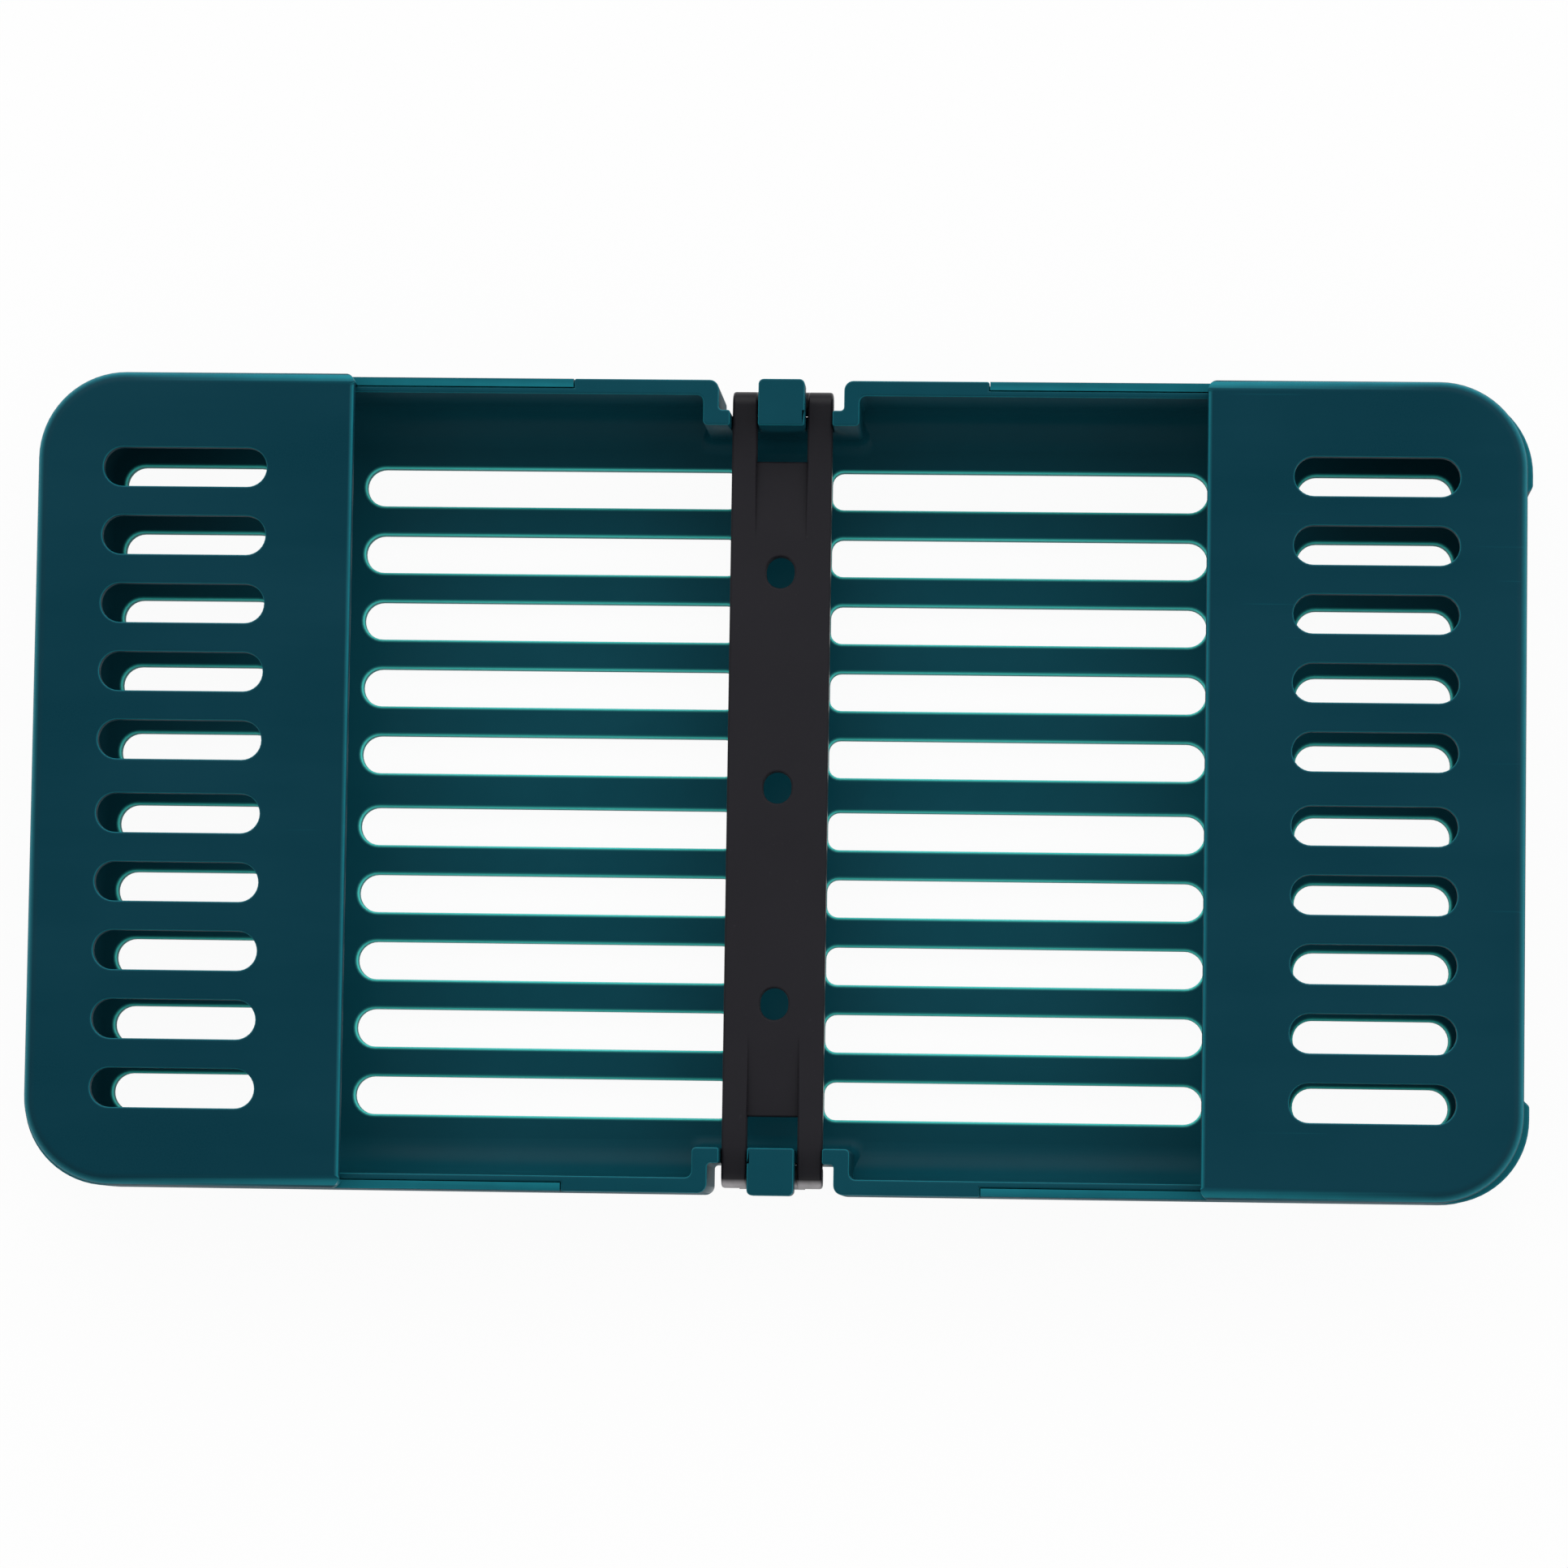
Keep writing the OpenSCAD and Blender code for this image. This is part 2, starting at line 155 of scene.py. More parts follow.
class CassetteCoverSettings(bpy.types.PropertyGroup):
    plate_length: size("Plate length", "Length of the top plate", 43.1 * MM)
    plate: size("Plate", "Thickness of the top plate", 1.9 * MM)
    skirt: size("Skirt", "Thickness of the skirt and the runner arms", 1.15 * MM)
    corner_radius: size("Corner radius", "Plan radius of the outer corners", 11.9 * MM)
    inner_radius: size("Inner radius", "Plan radius of the inner corners", 1.5 * MM)
    top_radius: size("Top radius", "Radius along the top edge", 1.7 * MM)
    slot_length: size("Slot length", "Length of a cover slot", 22.3 * MM)
    slot_width: size("Slot width", "Width of a cover slot", 5.33 * MM)
    slot_margin: size("Slot margin", "Distance from the cover's end to its slots", 9.1 * MM)
    slide_gap: size("Slide gap", "Sliding clearance on the tray", 0.1 * MM)
    track_gap: size("Track gap", "Clearance above and below the skirt and the rail", 0.15 * MM)
    travel: size("Travel", "How far a cover slides out", 30 * MM)
    groove_margin: size("Groove margin", "How far the groove runs on past the rail", 0.3 * MM)
    slot_edge: size("Slot edge radius", "Radius round the rims of the slots", 0.3 * MM)
    inner_edge: size("Inner edge radius", "Radius along the edges of the inner end", 0.9 * MM)
    edge: size("Edge radius", "Radius of the other moulded edges", 0.25 * MM)


class CassetteStrapSettings(bpy.types.PropertyGroup):
    thickness: size("Thickness", "Thickness of the strap", 2.6 * MM)
    leg_gap: size("Leg gap", "Gap between the two legs at each end", bar_high.x - bar_low.x)
    bar_diameter: size("Bar diameter", "Diameter of the bar that joins the legs", bar_high.y - bar_low.y)
    bend_radius: size("Bend radius", "Radius where a leg turns down", 2.1 * MM)
    window_length: size("Window length", "Length of the window at each end", 6.6 * MM)
    web_dip: size("Web dip", "How far the web dips at the window", 1.1 * MM)
    ramp_length: size("Ramp length", "Length of the ramp from the window", 11.2 * MM)
    hole_width: size("Hole width", "Width of a hole", 3.9 * MM)
    hole_length: size("Hole length", "Length of a hole", 4.4 * MM)
    hole_pitch: size("Hole pitch", "Distance between holes", 29.45 * MM)
    swell: size("Bar swell", "How far the bars swell out between the legs", 0.11 * MM)
    # The pale end of the front legs is a painted reflection of the white floor on their bends.
    painted_reflection_end: size("Stretched end", "Length of the pale stretched end of the front legs", 1.2 * MM)
    edge: size("Edge radius", "Radius of the long edges", 0.4 * MM)
    rim: size("Rim radius", "Radius round the holes and windows", 0.3 * MM)


class CassetteFinishSettings(bpy.types.PropertyGroup):
    plastic: colour("Plastic", "Colour of the moulded plastic", (0.0015, 0.038, 0.057))
    # Painted light, not colours of the plastic: the slot rims and walls of the thin floor are painted lighter
    # and made to emit, and the rounded edges are painted lighter; the edge colour also tints the scratches.
    painted_slot_light: colour("Thin edge", "Colour where light soaks through the thin floor", (0.08, 0.62, 0.56))
    painted_edge_light: colour("Lit edge", "Colour where light soaks into the plastic's edges", (0.012, 0.200, 0.250))
    painted_slot_emission: colour("Glow", "Light that soaks through the thin floor from below", (0.006, 0.100, 0.090))
    plastic_roughness: share("Plastic roughness", "Roughness of the moulded plastic", 0.30)
    plastic_gloss: share("Plastic gloss", "Specular level of the moulded plastic", 0.06)
    silicone: colour("Silicone", "Colour of the strap", (0.0095, 0.0088, 0.0120))
    # Also tints the strap's rounded edges, partly as wear and partly as a painted highlight.
    dust: colour("Dust", "Colour of the fine dust on the strap", (0.025, 0.024, 0.029))
    # A painted reflection: the pale grey of the white floor mirrored in the front bends.
    stretched: colour("Stretched", "Colour where the strap is pulled over the catch", (0.62, 0.59, 0.61))
    silicone_roughness: share("Silicone roughness", "Roughness of the strap", 0.55)
    silicone_gloss: share("Silicone gloss", "Specular level of the strap", 0.18)


class CassetteStageSettings(bpy.types.PropertyGroup):
    floor: colour("Floor", "Colour of the floor", (0.88, 0.88, 0.88))
    floor_size: size("Floor size", "Side of the square floor", 6)
    floor_gap: size("Floor gap", "Height of the underside above the floor", 0.05 * MM)
    shadow: share("Shadow", "How much of the object's shadow the floor shows", 0.05)
    lamp_length: size("Lamp length", "Length of each lamp", 1.8)
    lamp_width: size("Lamp width", "Width of each lamp", 1.1)
    lamp_distance: size("Lamp distance", "Distance of each lamp from the middle, along the floor", 1.3)
    lamp_height: size("Lamp height", "Height of each lamp", 0.95)
    right_power: share("Right power", "Power of the right-hand lamp, in watts", 3.0, 1000)
    back_power: share("Back power", "Power of the back lamp, in watts", 7.0, 1000)
    around: share("Around", "Strength of the surroundings on every side", 0.60, 10)
    behind: share("Behind", "Strength of the surroundings that is added at the back", 0.75, 10)
    zenith: share("Zenith", "Share of the surroundings' light that comes from straight above", 0.05)


# Modelling helpers


def activate(piece):
    """Makes a piece the only selected and the active object."""
    bpy.ops.object.select_all(action="DESELECT")
    piece.select_set(True)
    bpy.context.view_layer.objects.active = piece


def edit(piece, kind, wanted, tool, **options):
    """Runs one edit-mode tool on the vertices, edges or faces that a test picks."""
    activate(piece)
    bpy.ops.object.mode_set(mode="EDIT")
    bpy.ops.mesh.select_mode(type={"verts": "VERT", "edges": "EDGE", "faces": "FACE"}[kind])
    bpy.ops.mesh.select_all(action="DESELECT")
    mesh = bmesh.from_edit_mesh(piece.data)
    for element in [each for each in getattr(mesh, kind) if wanted(each)]:
        element.select_set(True)
    mesh.select_flush_mode()
    bmesh.update_edit_mesh(piece.data)
    tool(**options)
    bpy.ops.object.mode_set(mode="OBJECT")


def facets(radius):
    """How many facets a quarter round of that radius gets."""
    return max(FEWEST_STEPS, round(STEPS_PER_ROOT_MM * math.sqrt(radius / MM)))


def everything(element):
    """The test that picks every element."""
    return True


def tidy_mesh(piece):
    """Closes seams left by a tool and turns every face outwards."""
    edit(piece, "verts", everything, bpy.ops.mesh.remove_doubles, threshold=WELD)
    edit(piece, "faces", everything, bpy.ops.mesh.normals_make_consistent, inside=False)


def round_edges(piece, wanted, radius):
    """Rounds the edges that a test picks."""
    edit(piece, "edges", wanted, bpy.ops.mesh.bevel, offset=radius, segments=facets(radius),
         affect="EDGES", clamp_overlap=False, loop_slide=False)


def prism(name, corners, low, high):
    """An upright solid on an outline of corners, each (x, y) or (x, y, radius)."""
    bpy.ops.object.select_all(action="DESELECT")
    bpy.ops.mesh.primitive_circle_add(vertices=len(corners), fill_type="NGON")
    piece = bpy.context.object
    piece.name = name
    for vertex, corner in zip(piece.data.vertices, corners):
        vertex.co = (corner[0], corner[1], low)
    for radius in sorted({corner[2] for corner in corners if len(corner) > 2}):
        spots = [Vector(corner[:2]) for corner in corners if corner[2:] == (radius,)]
        edit(piece, "verts", lambda vert: any((vert.co.xy - spot).length < TINY for spot in spots),
             bpy.ops.mesh.bevel, offset=radius, segments=facets(radius), affect="VERTICES",
             clamp_overlap=False)
    edit(piece, "verts", everything, bpy.ops.mesh.remove_doubles, threshold=WELD)
    edit(piece, "faces", everything, bpy.ops.mesh.extrude_region_move,
         TRANSFORM_OT_translate={"value": (0, 0, high - low)})
    edit(piece, "faces", everything, bpy.ops.mesh.normals_make_consistent, inside=False)
    return piece


def box(name, low, high, radius=0):
    """An upright box between two corners, with rounded upright edges if a radius is given."""
    tail = (radius,) if radius else ()
    outline = [(low[0], low[1]), (high[0], low[1]), (high[0], high[1]), (low[0], high[1])]
    return prism(name, [corner + tail for corner in outline], low[2], high[2])


def centred_box(name, length, width, radius, low, high):
    """An upright rounded box round the middle of the tray."""
    return box(name, (-length / 2, -width / 2, low), (length / 2, width / 2, high), radius)


def copy_of(piece, matrix):
    """A copy with its own mesh, moved by a matrix."""
    twin = piece.copy()
    twin.data = piece.data.copy()
    twin.data.transform(matrix)
    if matrix.determinant() < 0:
        twin.data.flip_normals()
    bpy.context.collection.objects.link(twin)
    return twin


def gather(pieces):
    """Joins separate solids into one object."""
    bpy.ops.object.select_all(action="DESELECT")
    for piece in pieces:
        piece.select_set(True)
    bpy.context.view_layer.objects.active = pieces[0]
    bpy.ops.object.join()
    return pieces[0]


def both_ends(piece):
    """The piece together with its copy turned half round the upright axis."""
    return gather([piece, copy_of(piece, Matrix.Rotation(math.pi, 4, "Z"))])


def four_ways(piece):
    """The piece together with its mirror copies in all four quarters of the tray."""
    return both_ends(gather([piece, copy_of(piece, MIRROR_X)]))


def combine(piece, tool, operation):
    """Cuts, joins or intersects a piece with a tool, which is used up."""
    activate(piece)
    modifier = piece.modifiers.new(operation.title(), "BOOLEAN")
    modifier.operation = operation
    modifier.solver = "EXACT"
    modifier.object = tool
    bpy.ops.object.modifier_apply(modifier=modifier.name)
    bpy.data.objects.remove(tool)
    tidy_mesh(piece)


def level(edge, height):
    """Whether both ends of an edge lie at a height."""
    return all(abs(vert.co.z - height) < TINY for vert in edge.verts)


def upright(edge):
    """Whether an edge stands straight up."""
    start, end = (vert.co for vert in edge.verts)
    return (start.xy - end.xy).length < TINY


def sharp(edge):
    """Whether an edge is an outside corner that is still sharp."""
    return len(edge.link_faces) == 2 and edge.is_convex and edge.calc_face_angle() > SHARP_TURN


def finish_piece(piece, body, nodes, material):
    """Shades a finished solid, gives it its material and puts it in place of its CAD nodes."""
    activate(piece)
    bpy.ops.object.shade_smooth_by_angle(angle=CREASE_TURN)
    modifier = piece.modifiers.new("Flat faces stay flat", "WEIGHTED_NORMAL")
    modifier.keep_sharp = True
    bpy.ops.object.modifier_apply(modifier=modifier.name)
    piece.data.materials.clear()
    piece.data.materials.append(material)
    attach(piece, body)
    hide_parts(*nodes)


def share_between(value, low, high):
    """How far a value has come from low to high, from 0 to 1."""
    return min(1.0, max(0.0, (value - low) / (high - low)))


def edge_share(place, normal):
    """1 on the steep part of a rounded top edge, 0 on flat tops and upright walls."""
    return share_between(normal.z, LEANING, STEEP) if normal.z > WALL else 0.0


def upright_share(place, normal):
    """1 on upright walls, which have the mould's coarser grain."""
    return float(abs(normal.z) < WALL)


def mark(piece, name, value):
    """Stores a number on each vertex, from its place and normal, for the materials to blend."""
    marks = piece.data.attributes.new(name, "FLOAT", "POINT")
    marks.data.foreach_set("value", [value(vert.co, vert.normal) for vert in piece.data.vertices])


# Materials


class Value:
    """A number that varies over a surface; arithmetic on it adds Math nodes."""

    def __init__(self, shader, socket):
        self.shader = shader
        self.socket = socket

    def maths(self, operation, first, second):
        return self.shader.node("ShaderNodeMath", {"operation": operation}, {0: first, 1: second})

    def __add__(self, other):
        return self.maths("ADD", self, other)

    def __sub__(self, other):
        return self.maths("SUBTRACT", self, other)

    def __rsub__(self, other):
        return self.maths("SUBTRACT", other, self)

    def __mul__(self, other):
        return self.maths("MULTIPLY", self, other)

    __radd__ = __add__
    __rmul__ = __mul__


class Shader:
    """The node tree of one material or world."""

    def __init__(self, owner):
        owner.use_nodes = True
        self.tree = owner.node_tree
        self.tree.nodes.clear()

    def node(self, kind, settings=None, inputs=None, output=0):
        """Adds a node, sets it up, fills its sockets with values or links, and returns one output."""
        node = self.tree.nodes.new(kind)
        for name, value in (settings or {}).items():
            setattr(node, name, value)
        for socket, value in (inputs or {}).items():
            if isinstance(value, Value):
                self.tree.links.new(value.socket, node.inputs[socket])
            else:
                node.inputs[socket].default_value = value
        return Value(self, node.outputs[output]) if node.outputs else None

    def ramp(self, value, low, high):
        """0 below low and 1 above high, with a soft step between."""
        return self.node("ShaderNodeMapRange", {"interpolation_type": "SMOOTHSTEP"},
                         {"Value": value, "From Min": low, "From Max": high})

    def mix(self, factor, first, second):
        """A blend of two colours."""
        colours = {6: (*first, 1) if isinstance(first, tuple) else first,
                   7: (*second, 1) if isinstance(second, tuple) else second}
        return self.node("ShaderNodeMix", {"data_type": "RGBA"}, {0: factor, **colours}, output=2)

    def noise(self, place, scale, detail=2.0, roughness=0.5):
        """Soft random blotches, scale of them to the metre."""
        return self.node("ShaderNodeTexNoise", None, {"Vector": place, "Scale": scale,
                                                      "Detail": detail, "Roughness": roughness})

    def place(self):
        """The point on the piece, in its own frame."""
        return self.node("ShaderNodeTexCoord", output="Object")

    def stretched(self, place, scale):
        """The point on the piece with its axes stretched, for a pattern that runs one way."""
        return self.node("ShaderNodeMapping", None, {"Vector": place, "Scale": scale})

    def attribute(self, name):
        """A number stored on the vertices of the piece."""
        return self.node("ShaderNodeAttribute", {"attribute_name": name}, output="Fac")


def plastic_material(look):
    """Satin moulded plastic: fine spark grain, faint flow marks, painted light on the edges and on the thin
    floor's slot rims and walls, hairline scratches.
    """
    material = bpy.data.materials.new("teal_moulded_plastic")
    shader = Shader(material)
    place = shader.place()
    grain = shader.noise(place, scale=5200, detail=3.0)
    clouds = shader.noise(place, scale=34, detail=3.0)
    flow = shader.noise(shader.stretched(place, (9, 70, 40)), scale=1, detail=4.0, roughness=0.6)
    lines = shader.noise(shader.stretched(place, (35, 2600, 900)), scale=1, detail=2.0, roughness=0.4)
    scratches = shader.ramp(lines, low=0.74, high=0.80)
    # Painted light: the rounded edges, the tray's ledge and, faintly, the rest of the tray are painted a
    # lighter teal, in blotches.
    edge = shader.attribute("edge") * (0.8 + shader.noise(place, scale=260, detail=4.0) * 0.4)
    # Painted light on the slot rims and walls of the thin floor.
    thin = shader.attribute("thin")
    tone = shader.ramp(clouds * 0.5 + flow * 0.5, low=0.35, high=0.65)
    deep = tuple(look.plastic)
    fresh = tuple(0.002 + 1.12 * part for part in look.plastic)
    base = shader.mix(tone, deep, fresh)
    base = shader.mix(edge, base, tuple(look.painted_edge_light))
    base = shader.mix(thin, base, tuple(look.painted_slot_light))
    base = shader.mix(scratches * 0.12, base, tuple(look.painted_edge_light))
    roughness = look.plastic_roughness + (grain - 0.5) * 0.08 + (tone - 0.5) * 0.05 + edge * 0.10
    roughness = roughness + shader.attribute("upright") * 0.25
    height = grain + scratches * -0.6
    bump = shader.node("ShaderNodeBump", None, {"Strength": 0.12, "Distance": 0.015 * MM, "Height": height})
    # The emission is painted light on the slot rims and walls; they are no lamp.
    surface = shader.node("ShaderNodeBsdfPrincipled", None,
                          {"Base Color": base, "Roughness": roughness, "IOR": PLASTIC_IOR,
                           "Specular IOR Level": look.plastic_gloss, "Normal": bump,
                           "Emission Color": shader.mix(thin, (0.0, 0.0, 0.0), tuple(look.painted_slot_emission)),
                           "Emission Strength": 1.0})
    shader.node("ShaderNodeOutputMaterial", None, {"Surface": surface})
    return material


def silicone_material(look):
    """Matte silicone rubber with a little dust, glossier where it bends, with painted highlights on the
    rounded edges and a pale painted reflection on the bends at the front ends of the legs.
    """
    material = bpy.data.materials.new("black_silicone_rubber")
    shader = Shader(material)
    place = shader.place()
    grain = shader.noise(place, scale=4200, detail=3.0)
    clouds = shader.noise(place, scale=60, detail=4.0)
    specks = shader.ramp(shader.noise(place, scale=1500, detail=2.0), low=0.70, high=0.78)
    patches = shader.noise(place, scale=300, detail=3.0)
    # The rounded edges get lighter patches of the dust colour: partly worn, partly a painted highlight where
    # they catch the light.
    edge_wear_and_sheen = shader.ramp(shader.attribute("edge") * patches, low=0.25, high=0.75)
    polished = shader.attribute("bend")
    # Painted reflection: the bends at the front ends of the legs are painted pale, blotched by noise.
    stretched = shader.attribute("stretched") * (0.6 + shader.noise(place, scale=700, detail=3.0) * 0.5)
    base = shader.mix(clouds * 0.35, tuple(look.silicone), tuple(look.dust))
    base = shader.mix(specks * 0.30 + edge_wear_and_sheen * 0.25, base, tuple(look.dust))
    base = shader.mix(stretched, base, tuple(look.stretched))
    roughness = look.silicone_roughness + (grain - 0.5) * 0.14 - polished * 0.25
    bump = shader.node("ShaderNodeBump", None, {"Strength": 0.30, "Distance": 0.02 * MM, "Height": grain})
    surface = shader.node("ShaderNodeBsdfPrincipled", None,
                          {"Base Color": base, "Roughness": roughness, "IOR": SILICONE_IOR,
                           "Specular IOR Level": look.silicone_gloss, "Normal": bump})
    shader.node("ShaderNodeOutputMaterial", None, {"Surface": surface})
    return material


def material_for(name, maker):
    """The material of that name, made once."""
    return bpy.data.materials.get(name) or maker(bpy.context.scene.cassette_finish)


# Tray


def row_places(settings):
    """Middle of each row of slots across the tray, from the front to the back."""
    half = [settings.middle_pitch / 2 + row * settings.row_pitch for row in range(settings.rows_per_side)]
    return [-place for place in reversed(half)] + half


def slot_cutter(start, end, width, start_radius, low, high):
    """A tool for a slot along X whose far end is round and whose near corners have their own radius."""
    half = width / 2
    return prism("slot", [(start, -half, start_radius), (end, -half, half),
                          (end, half, half), (start, half, start_radius)], low, high)


def notch_outline(tray, inner, outer):
    """Outline of the notch in a long wall, opening with eased corners, on the +Y side."""
    half = tray.notch_width / 2
    flare = half + tray.notch_radius
    return [(-half, inner, tray.notch_inner_radius), (half, inner, tray.notch_inner_radius),
            (half, outer, tray.notch_radius), (flare, outer), (flare, outer + OVER), (-flare, outer + OVER),
            (-flare, outer), (-half, outer, tray.notch_radius)]


class CASSETTE_OT_tray(bpy.types.Operator):
    """Build the slotted tray with its notches, catches, tracks and rails"""

    bl_idname = "cassette.tray"
    bl_label = "Tray"

    def execute(self, context):
        tray = context.scene.cassette_tray
        cover = context.scene.cassette_cover
        strap = context.scene.cassette_strap
        half_length, half_width = tray.length / 2, tray.width / 2
        shelf = cover_low.z - cover.track_gap
        inset = cover.skirt + cover.slide_gap
        wall_face = half_width - tray.side_wall
        wall_outer = half_width - tray.notch_depth
        wall_inner = wall_outer - tray.side_wall

        body = centred_box("tray_moulding", tray.length, tray.width, tray.corner_radius, 0, tray.height)
        round_edges(body, lambda edge: level(edge, 0), tray.base_radius)

        track = box("track", (cover_low.x - cover.slide_gap, -half_width - OVER, shelf),
                    (half_length + OVER, half_width + OVER, tray.height + OVER))
        core = centred_box("core", 2 * (cover_high.x - inset), tray.width - 2 * inset,
                           cover.corner_radius - inset, 0, tray.height + 2 * OVER)
        combine(track, core, "DIFFERENCE")
        combine(body, both_ends(track), "DIFFERENCE")

        cavity = centred_box("cavity", tray.length - 2 * tray.end_wall, tray.width - 2 * tray.side_wall,
                             cover.corner_radius - tray.side_wall, tray.floor, tray.height + OVER)
        round_edges(cavity, lambda edge: level(edge, tray.floor), tray.floor_fillet)
        combine(cavity, self.bosses(tray, wall_face, wall_inner), "DIFFERENCE")
        combine(body, cavity, "DIFFERENCE")
        combine(body, self.boss_feet(tray, wall_face, wall_inner), "UNION")

        notch = prism("notch", notch_outline(tray, wall_outer, half_width), -OVER, tray.height + OVER)
        combine(body, both_ends(notch), "DIFFERENCE")
        gap = strap_high.x + tray.strap_gap
        sill = strap_high.z - strap.thickness - 2 * tray.strap_gap
        passage = box("passage", (-gap, wall_inner - OVER, sill),
                      (gap, wall_outer + OVER, tray.height + OVER))
        combine(body, both_ends(passage), "DIFFERENCE")
        combine(body, both_ends(self.catch(tray, strap, wall_inner)), "UNION")
        combine(body, self.finger_recesses(tray, half_length), "DIFFERENCE")
        combine(body, self.rails(tray, cover, half_width - inset), "UNION")
        combine(body, self.slots(tray, cover), "DIFFERENCE")
        self.round_off(body, tray, cover, shelf)
        finish_piece(body, "tray", ["tray"],
                     material_for("teal_moulded_plastic", plastic_material))
        return {"FINISHED"}

    def bosses(self, tray, wall_face, wall_inner):
        """The swellings inside the long walls, behind the notches."""
        half = tray.notch_width / 2 + tray.side_wall
        root, corner = tray.boss_root_radius, tray.boss_radius
        foot = half + root + OVER
        boss = prism("boss", [(-foot, wall_face), (-half, wall_face, root), (-half, wall_inner, corner),
                              (half, wall_inner, corner), (half, wall_face, root), (foot, wall_face),
                              (foot, wall_face + OVER), (-foot, wall_face + OVER)],
                     0, tray.height + 2 * OVER)
        return both_ends(boss)

    def boss_feet(self, tray, wall_face, wall_inner):
        """The rounded feet on which the swellings stand on the floor."""
        half, radius = tray.notch_width / 2 + tray.side_wall, tray.boss_foot_radius
        reach, far = half + radius, wall_face + OVER
        near, top = wall_inner - radius, tray.floor + radius
        foot = box("foot", (-reach, near, tray.floor - OVER), (reach, far, top))
        space = box("space", (-reach - OVER, near - OVER, tray.floor), (reach + OVER, far + OVER, top + OVER))
        boss = prism("boss", [(-half, wall_inner, tray.boss_radius), (half, wall_inner, tray.boss_radius),
                              (half, far + 2 * OVER), (-half, far + 2 * OVER)], 0, tray.height)
        combine(space, boss, "DIFFERENCE")

        def beside_boss(edge):
            return level(edge, tray.floor) and all(
                abs(vert.co.x) < half + TINY and vert.co.y > wall_inner - TINY for vert in edge.verts)

        round_edges(space, beside_boss, radius)
        combine(foot, space, "DIFFERENCE")
        return both_ends(foot)

    def catch(self, tray, strap, wall_inner):
        """A post in the notch whose head overhangs the strap's bar, on the +Y side."""
        half = tray.catch_width / 2
        bar_top = bar_high.z
        foot = tray.floor / 2
        post = box("post", (-half, wall_inner, foot), (half, wall_inner + tray.side_wall, tray.height))
        head = prism("head", [(-half, wall_inner), (half, wall_inner), (half, tray_high.y, tray.catch_radius),
                              (-half, tray_high.y, tray.catch_radius)],
                     bar_top + tray.head_gap, tray.height)
        combine(post, head, "UNION")
        return post

    def finger_recesses(self, tray, half_length):
        """Shallow recesses with sloping ends in both end walls."""
        half = tray.finger_width / 2
        spread = half + tray.finger_depth + OVER
        face, outside = half_length - tray.finger_depth, half_length + OVER
        recess = prism("recess", [(face, -half), (outside, -spread), (outside, spread), (face, half)],
                       -OVER, tray.height + OVER)
        return both_ends(recess)

    def rails(self, tray, cover, track_face):
        """Rails on the track walls that keep the covers down."""
        start = cover_high.x - cover.plate_length + tray.rail_lead
        end = cover_high.x - cover.corner_radius - tray.rail_margin
        top = tray.height - tray.rail_drop
        rail = box("rail", (start, track_face - OVER / 2, top - tray.rail_height),
                   (end, track_face + tray.rail_depth, top))
        return four_ways(rail)

    def slots(self, tray, cover):
        """Every slot through the floor."""
        end_stop = tray.length / 2 - tray.end_wall - tray.end_slot_margin
        inner_end = cover_high.x - cover.plate_length + tray.slot_under_cover
        depth = (-OVER, tray.floor + OVER)
        long_slot = slot_cutter(tray.middle_band / 2, inner_end, tray.slot_width,
                                tray.slot_inner_radius, *depth)
        end_slot = slot_cutter(end_stop - tray.end_slot_length, end_stop, tray.slot_width,
                               tray.slot_width / 2, *depth)
        pair = gather([long_slot, end_slot])
        rows = [copy_of(pair, Matrix.Translation((0, place, 0))) for place in row_places(tray)]
        bpy.data.objects.remove(pair)
        return both_ends(gather(rows))

    def round_off(self, body, tray, cover, shelf):
        """Rounds the rims of the slots first, and then the other sharp edges."""
        middle, side = tray.middle_band / 2 - TINY, tray.width / 2 - tray.side_wall - tray.floor_fillet
        end = tray.length / 2 - tray.end_wall - tray.floor_fillet

        def over_slots(place, slack=0):
            return middle - slack < abs(place.x) < end and abs(place.y) < side

        def slot_rim(edge):
            return level(edge, tray.floor) and sharp(edge) and all(over_slots(vert.co) for vert in edge.verts)

        def rim(edge):
            flat = any(level(edge, height) for height in (0, tray.height, shelf))
            return sharp(edge) and (flat or upright(edge))

        round_edges(body, slot_rim, tray.slot_edge)
        round_edges(body, rim, tray.edge)
        low_rim = tray.height - tray.edge + TINY
        shelf_start = cover_low.x - cover.slide_gap - TINY
        slot_wall_top = tray.floor - tray.slot_edge + TINY

        # Painted light: the rounded rim edges and the exposed ledge take the painted edge light, and every
        # other face a faint share of it.
        def lit(place, normal):
            if place.z > low_rim:
                return max(LIT_INSIDE, edge_share(place, normal))
            on_shelf = shelf - tray.edge + TINY < place.z < shelf + TINY and abs(place.x) > shelf_start
            return LIT_LEDGE if on_shelf and normal.z > WALL else LIT_INSIDE

        # Painted light on the slot rims and the slot walls of the thin floor.
        def thin(place, normal):
            if not over_slots(place, tray.slot_edge + TINY) or place.z > tray.floor + TINY:
                return 0.0
            if tray.edge - TINY < place.z < slot_wall_top:
                return LIT_SLOT_WALL
            return share_between(normal.z, FLAT, SLOPING) if normal.z > 0 else 0.0

        mark(body, "edge", lit)
        mark(body, "thin", thin)
        mark(body, "upright", upright_share)


# Covers


